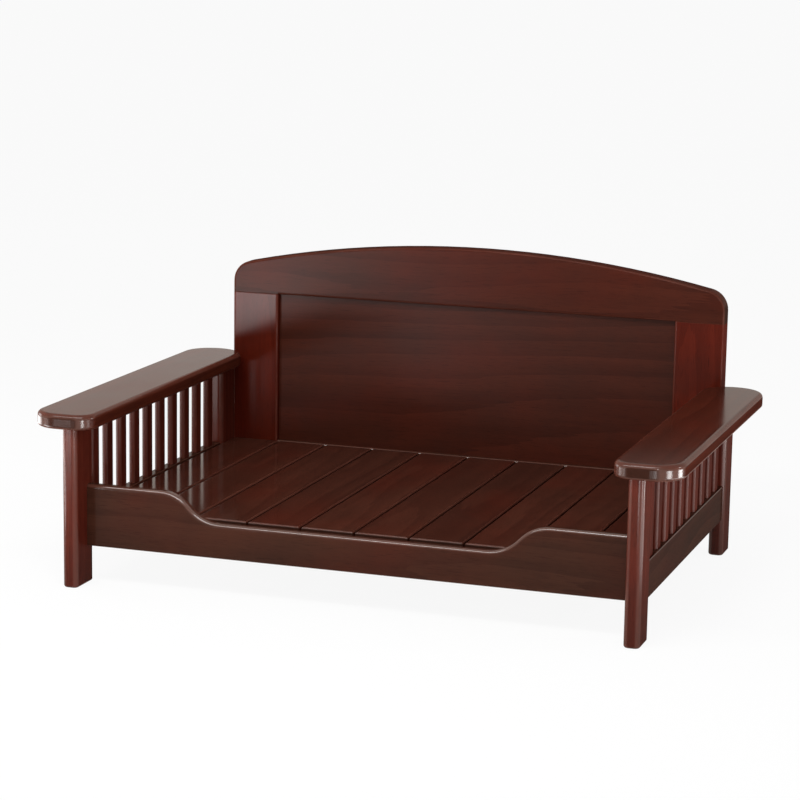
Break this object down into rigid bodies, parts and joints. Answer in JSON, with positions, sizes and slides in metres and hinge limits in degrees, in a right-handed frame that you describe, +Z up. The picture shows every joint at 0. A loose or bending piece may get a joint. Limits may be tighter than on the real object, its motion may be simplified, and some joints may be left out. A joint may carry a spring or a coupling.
{
  "type": "dog sofa bed",
  "caption": "Low wooden sofa bed for a dog, with slatted sides under broad arms, a plank deck, a dipped front rail and an arched panelled back.",
  "frame": {"origin": "on the floor, under the middle of the outline", "axes": "+X towards the right arm as seen from the front, +Y from the open front to the back, +Z up"},
  "size_m": [0.814, 0.539, 0.3789],
  "materials": {
    "frame_wood": "dark red-brown stain under gloss lacquer",
    "panel_wood": "dark red-brown stain under gloss lacquer",
    "deck_wood": "dark red-brown stain under gloss lacquer",
    "support_wood": "thin stain, unlacquered",
    "steel": "zinc plated"
  },
  "bodies": {
    "root": {"front_left_post": "frame_wood", "front_right_post": "frame_wood", "rear_left_post": "frame_wood", "rear_right_post": "frame_wood", "left_armrest": "frame_wood", "right_armrest": "frame_wood", "left_side_rail": "frame_wood", "right_side_rail": "frame_wood", "left_slat_01": "frame_wood", "left_slat_02": "frame_wood", "left_slat_03": "frame_wood", "left_slat_04": "frame_wood", "left_slat_05": "frame_wood", "left_slat_06": "frame_wood", "left_slat_07": "frame_wood", "left_slat_08": "frame_wood", "left_slat_09": "frame_wood", "left_slat_10": "frame_wood", "right_slat_01": "frame_wood", "right_slat_02": "frame_wood", "right_slat_03": "frame_wood", "right_slat_04": "frame_wood", "right_slat_05": "frame_wood", "right_slat_06": "frame_wood", "right_slat_07": "frame_wood", "right_slat_08": "frame_wood", "right_slat_09": "frame_wood", "right_slat_10": "frame_wood", "front_rail": "frame_wood", "rear_rail": "frame_wood", "back_top_rail": "frame_wood", "back_left_stile": "frame_wood", "back_right_stile": "frame_wood", "back_bottom_rail": "frame_wood", "back_panel": "panel_wood", "deck_plank_01": "deck_wood", "deck_plank_02": "deck_wood", "deck_plank_03": "deck_wood", "deck_plank_04": "deck_wood", "deck_plank_05": "deck_wood", "deck_plank_06": "deck_wood", "deck_plank_07": "deck_wood", "deck_plank_08": "deck_wood", "deck_plank_09": "deck_wood", "deck_plank_10": "deck_wood", "front_cleat": "support_wood", "rear_cleat": "support_wood", "centre_bearer": "support_wood", "deck_screws": "steel", "cleat_screws": "steel", "back_bolts": "steel", "back_bolt_inserts": "steel"}
  },
  "joints": []
}
